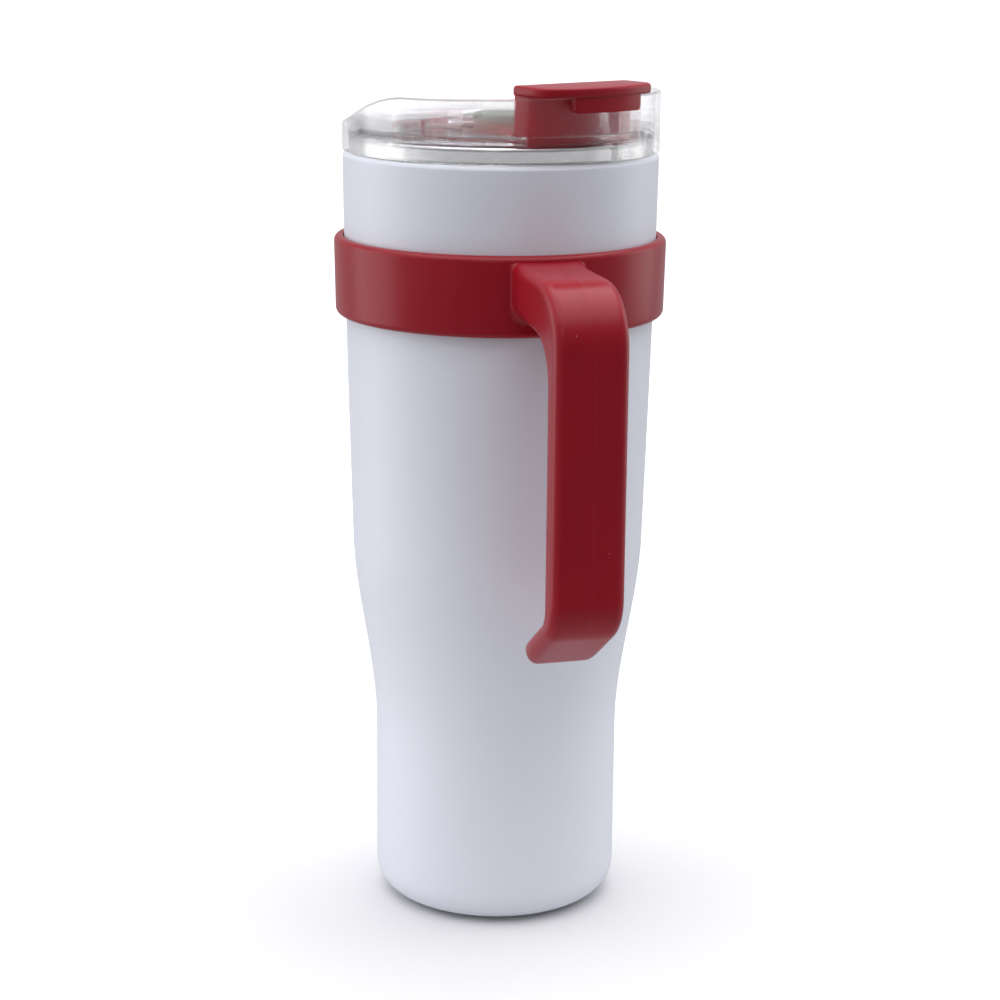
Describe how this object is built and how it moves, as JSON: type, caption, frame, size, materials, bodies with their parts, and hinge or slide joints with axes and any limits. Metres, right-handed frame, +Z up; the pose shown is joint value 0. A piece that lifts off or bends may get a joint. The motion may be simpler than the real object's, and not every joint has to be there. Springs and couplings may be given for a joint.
{
  "type": "insulated travel mug",
  "caption": "Tall double-wall steel travel mug with a push-on handle ring and a clear lid whose hinged flip cover seals the drinking slot.",
  "frame": {"origin": "centre of the foot pad's underside, on the mug's axis", "axes": "+Z up along the mug's axis; the handle points along +X; the lid is turned 22.6 degrees about +Z"},
  "size_m": [0.1491, 0.105, 0.268],
  "materials": {
    "shell_white": "fine powder coat",
    "liner_steel": "electropolished, rolled bright lip",
    "liner_floor_steel": "polished",
    "foil_copper": "bright copper foil",
    "base_steel": "bare pressed steel",
    "seal_solder": "dull solder",
    "foot_silicone": "matt silicone",
    "getter_cup_steel": "bare pressed steel",
    "getter_compound": "pressed dark powder",
    "handle_red": "satin moulded",
    "grip_ring_silicone": "matt silicone",
    "lid_clear": "clear, polished",
    "gasket_silicone": "translucent silicone",
    "grommet_silicone": "translucent silicone",
    "pin_steel": "drawn steel",
    "stopper_silicone": "translucent silicone",
    "cover_red": "satin moulded",
    "sip_silicone": "translucent silicone",
    "vent_silicone": "translucent silicone"
  },
  "bodies": {
    "mug": {"outer_shell": "shell_white", "inner_liner": "liner_steel", "liner_floor": "liner_floor_steel", "radiation_foil": "foil_copper", "outer_base": "base_steel", "vacuum_seal_bead": "seal_solder", "foot_pad": "foot_silicone", "getter_cup": "getter_cup_steel", "getter_pellet": "getter_compound"},
    "handle": {"handle": "handle_red", "handle_grip_ring": "grip_ring_silicone"},
    "gasket": {"lid_gasket": "gasket_silicone"},
    "lid": {"lid_body": "lid_clear", "straw_grommet": "grommet_silicone", "hinge_pin": "pin_steel"},
    "flip_cover": {"flip_cover": "cover_red", "sip_stopper": "sip_silicone", "vent_seal": "vent_silicone"},
    "straw_stopper": {"straw_stopper": "stopper_silicone"}
  },
  "joints": [
    {"name": "handle_turn", "type": "hinge", "parent": "mug", "child": "handle", "pos_m": [0, 0, 0.2063], "axis": [0, 0, 1], "continuous": true},
    {"name": "lid_lift", "type": "slide", "parent": "mug", "child": "gasket", "axis": [0, 0, 1], "range_m": [0, 0.06]},
    {"name": "lid_turn", "type": "hinge", "parent": "gasket", "child": "lid", "pos_m": [0, 0, 0.238], "axis": [0, 0, 1], "continuous": true},
    {"name": "cover_flip", "type": "hinge", "parent": "lid", "child": "flip_cover", "pos_m": [-0.01154, -0.0048, 0.2522], "axis": [0.3843, -0.9232, 0], "range_deg": [0, 150]},
    {"name": "straw_stopper_pull", "type": "slide", "parent": "lid", "child": "straw_stopper", "axis": [0, 0, 1], "range_m": [0, 0.03]}
  ]
}
